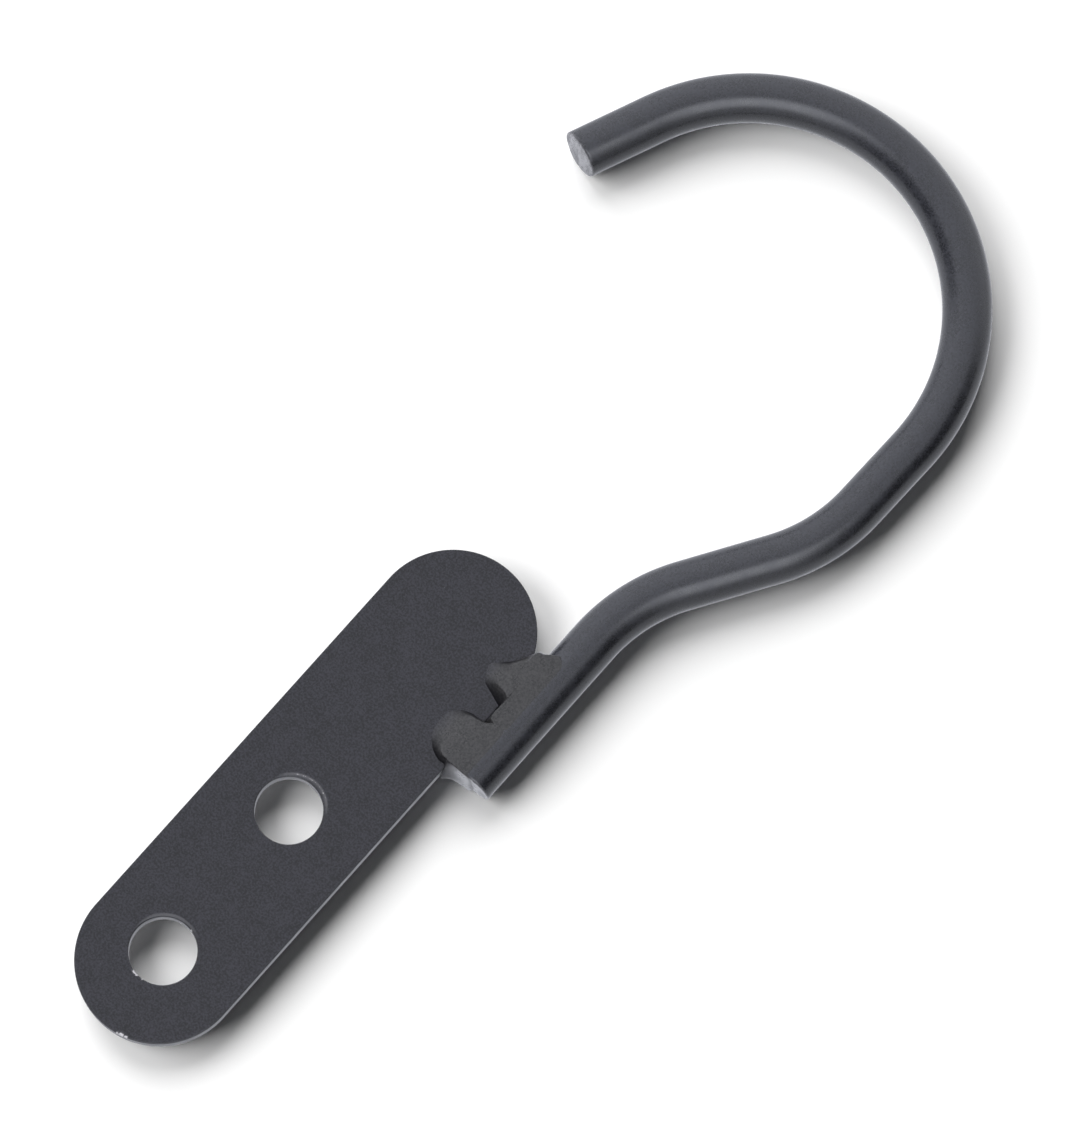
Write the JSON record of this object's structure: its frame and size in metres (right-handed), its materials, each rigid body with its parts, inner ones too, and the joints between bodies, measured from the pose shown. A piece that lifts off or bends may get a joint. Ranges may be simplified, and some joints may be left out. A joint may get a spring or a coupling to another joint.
{
  "type": "welded hook bracket",
  "caption": "Flat steel strap with bolt holes and a bent round-bar hook welded along its edge, all powder coated black.",
  "frame": {"origin": "on the strap's back face, midway between its two bolt holes", "axes": "+Z out of the strap's front face, +Y along the strap towards the hook, +X towards the side the bar is welded on"},
  "size_m": [0.0795, 0.1924, 0.008],
  "materials": {
    "strap_coat": "satin black powder coat over flat bar",
    "bar_coat": "satin black powder coat over round bar",
    "weld_coat": "satin black powder coat over weld metal"
  },
  "bodies": {
    "root": {"mounting_strap": "strap_coat", "hook_bar": "bar_coat", "lower_weld_bead": "weld_coat", "upper_weld_bead": "weld_coat"}
  },
  "joints": []
}
